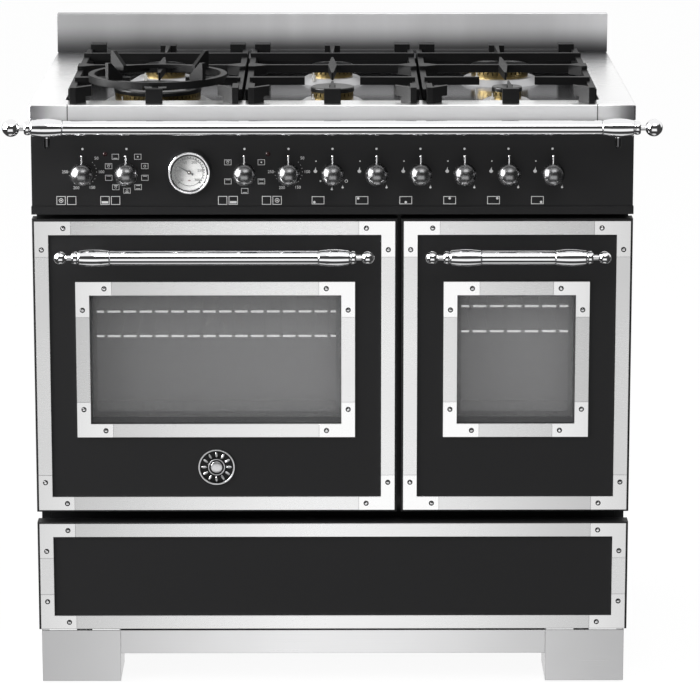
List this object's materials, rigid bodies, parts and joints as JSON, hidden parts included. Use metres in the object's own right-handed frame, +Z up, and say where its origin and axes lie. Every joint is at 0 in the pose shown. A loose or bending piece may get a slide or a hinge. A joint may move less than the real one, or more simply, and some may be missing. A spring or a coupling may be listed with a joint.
{
  "type": "range cooker",
  "caption": "Free-standing gas range cooker with cast pan supports, a ball-knob control panel, a turned towel rail, two drop-down ovens, a storage drawer and a legged plinth.",
  "frame": {"origin": "centre of the bottom of the overall box, at the floor under the feet", "axes": "+X to the right seen from the front, +Y towards the wall, +Z up; the doors face -Y"},
  "size_m": [0.974, 0.656, 0.959],
  "materials": {
    "charcoal_enamel": "satin enamel",
    "black_enamel": "vitreous enamel, semi-matt",
    "oven_enamel": "vitreous enamel, glossy",
    "stainless_steel": "brushed",
    "brushed_trim": "fine brushed",
    "galvanised_steel": "plain galvanised",
    "element_steel": "heat-darkened",
    "polished_chrome": "polished",
    "cast_aluminium": "as cast",
    "cast_iron": "matt enamelled",
    "burner_brass": "satin",
    "knob_plastic": "polished",
    "black_plastic": "plain",
    "black_rubber": "matt",
    "white_ceramic": "glazed ceramic",
    "clear_glass": "clear",
    "tinted_glass": "grey tint"
  },
  "bodies": {
    "cooker": {"side_panels": "charcoal_enamel", "back_panel": "galvanised_steel", "base_pan": "galvanised_steel", "front_frame": "black_enamel", "plinth": "stainless_steel", "levelling_feet": "black_plastic", "worktop": "stainless_steel", "backguard": "stainless_steel", "control_panel": "charcoal_enamel", "towel_rail": "polished_chrome", "gauge_case": "polished_chrome", "gauge_glass": "clear_glass", "oven_cavities": "oven_enamel", "oven_shelves": "polished_chrome", "heating_elements": "element_steel", "door_seals": "black_rubber", "fan_motor": "galvanised_steel", "taps_and_switches": "cast_aluminium", "burner_cups": "cast_aluminium", "burner_crowns": "burner_brass", "burner_caps": "black_enamel", "spark_electrodes": "white_ceramic", "pan_supports": "cast_iron", "drawer_rails": "galvanised_steel"},
    "fan": {"fan_impeller": "element_steel"},
    "needle": {"gauge_needle": "black_plastic"},
    "left_door": {"left_door_panel": "charcoal_enamel", "left_door_trim": "brushed_trim", "left_door_screws": "polished_chrome", "left_door_glass": "tinted_glass", "left_door_liner": "oven_enamel", "left_door_handle": "polished_chrome", "left_door_hinges": "element_steel"},
    "right_door": {"right_door_panel": "charcoal_enamel", "right_door_trim": "brushed_trim", "right_door_screws": "polished_chrome", "right_door_glass": "tinted_glass", "right_door_liner": "oven_enamel", "right_door_handle": "polished_chrome", "right_door_hinges": "element_steel"},
    "drawer": {"drawer_front": "charcoal_enamel", "drawer_trim": "brushed_trim", "drawer_screws": "polished_chrome", "drawer_box": "galvanised_steel"},
    "knob_main_temperature": {"knob_main_temperature": "knob_plastic"},
    "knob_main_function": {"knob_main_function": "knob_plastic"},
    "knob_second_function": {"knob_second_function": "knob_plastic"},
    "knob_second_temperature": {"knob_second_temperature": "knob_plastic"},
    "push_wok": {"push_sleeve_wok": "element_steel"},
    "knob_wok": {"knob_wok": "knob_plastic"},
    "push_left_rear": {"push_sleeve_left_rear": "element_steel"},
    "knob_left_rear": {"knob_left_rear": "knob_plastic"},
    "push_centre_front": {"push_sleeve_centre_front": "element_steel"},
    "knob_centre_front": {"knob_centre_front": "knob_plastic"},
    "push_centre_rear": {"push_sleeve_centre_rear": "element_steel"},
    "knob_centre_rear": {"knob_centre_rear": "knob_plastic"},
    "push_right_rear": {"push_sleeve_right_rear": "element_steel"},
    "knob_right_rear": {"knob_right_rear": "knob_plastic"},
    "push_right_front": {"push_sleeve_right_front": "element_steel"},
    "knob_right_front": {"knob_right_front": "knob_plastic"}
  },
  "joints": [
    {"name": "left_door_drop", "type": "hinge", "parent": "cooker", "child": "left_door", "pos_m": [-0.176, -0.246, 0.289], "axis": [1, 0, 0], "range_deg": [0, 90], "stiffness_Nm_per_rad": 5, "springref_deg": -28.65},
    {"name": "right_door_drop", "type": "hinge", "parent": "cooker", "child": "right_door", "pos_m": [0.276, -0.246, 0.289], "axis": [1, 0, 0], "range_deg": [0, 90], "stiffness_Nm_per_rad": 3, "springref_deg": -28.65},
    {"name": "drawer_slide", "type": "slide", "parent": "cooker", "child": "drawer", "axis": [0, -1, 0], "range_m": [0, 0.3]},
    {"name": "main_temperature_turn", "type": "hinge", "parent": "cooker", "child": "knob_main_temperature", "pos_m": [-0.3715, -0.273, 0.794], "axis": [0, -1, 0], "range_deg": [-270, 0]},
    {"name": "main_function_turn", "type": "hinge", "parent": "cooker", "child": "knob_main_function", "pos_m": [-0.3061, -0.273, 0.794], "axis": [0, -1, 0], "range_deg": [-324, 0]},
    {"name": "second_function_turn", "type": "hinge", "parent": "cooker", "child": "knob_second_function", "pos_m": [-0.1308, -0.273, 0.794], "axis": [0, -1, 0], "range_deg": [-300, 0]},
    {"name": "second_temperature_turn", "type": "hinge", "parent": "cooker", "child": "knob_second_temperature", "pos_m": [-0.0654, -0.273, 0.794], "axis": [0, -1, 0], "range_deg": [-270, 0]},
    {"name": "wok_push", "type": "slide", "parent": "cooker", "child": "push_wok", "axis": [0, 1, 0], "range_m": [0, 0.005], "stiffness_N_per_m": 1500},
    {"name": "wok_turn", "type": "hinge", "parent": "push_wok", "child": "knob_wok", "pos_m": [0, -0.273, 0.794], "axis": [0, -1, 0], "range_deg": [0, 220]},
    {"name": "left_rear_push", "type": "slide", "parent": "cooker", "child": "push_left_rear", "axis": [0, 1, 0], "range_m": [0, 0.005], "stiffness_N_per_m": 1500},
    {"name": "left_rear_turn", "type": "hinge", "parent": "push_left_rear", "child": "knob_left_rear", "pos_m": [0.0654, -0.273, 0.794], "axis": [0, -1, 0], "range_deg": [0, 220]},
    {"name": "centre_front_push", "type": "slide", "parent": "cooker", "child": "push_centre_front", "axis": [0, 1, 0], "range_m": [0, 0.005], "stiffness_N_per_m": 1500},
    {"name": "centre_front_turn", "type": "hinge", "parent": "push_centre_front", "child": "knob_centre_front", "pos_m": [0.1308, -0.273, 0.794], "axis": [0, -1, 0], "range_deg": [0, 220]},
    {"name": "centre_rear_push", "type": "slide", "parent": "cooker", "child": "push_centre_rear", "axis": [0, 1, 0], "range_m": [0, 0.005], "stiffness_N_per_m": 1500},
    {"name": "centre_rear_turn", "type": "hinge", "parent": "push_centre_rear", "child": "knob_centre_rear", "pos_m": [0.1962, -0.273, 0.794], "axis": [0, -1, 0], "range_deg": [0, 220]},
    {"name": "right_rear_push", "type": "slide", "parent": "cooker", "child": "push_right_rear", "axis": [0, 1, 0], "range_m": [0, 0.005], "stiffness_N_per_m": 1500},
    {"name": "right_rear_turn", "type": "hinge", "parent": "push_right_rear", "child": "knob_right_rear", "pos_m": [0.2616, -0.273, 0.794], "axis": [0, -1, 0], "range_deg": [0, 220]},
    {"name": "right_front_push", "type": "slide", "parent": "cooker", "child": "push_right_front", "axis": [0, 1, 0], "range_m": [0, 0.005], "stiffness_N_per_m": 1500},
    {"name": "right_front_turn", "type": "hinge", "parent": "push_right_front", "child": "knob_right_front", "pos_m": [0.327, -0.273, 0.794], "axis": [0, -1, 0], "range_deg": [0, 220]},
    {"name": "needle_sweep", "type": "hinge", "parent": "cooker", "child": "needle", "pos_m": [-0.213, -0.277, 0.794], "axis": [0, -1, 0], "range_deg": [-195, 75]},
    {"name": "fan_spin", "type": "hinge", "parent": "cooker", "child": "fan", "pos_m": [-0.175, 0.188, 0.50025], "axis": [0, 1, 0], "continuous": true}
  ]
}
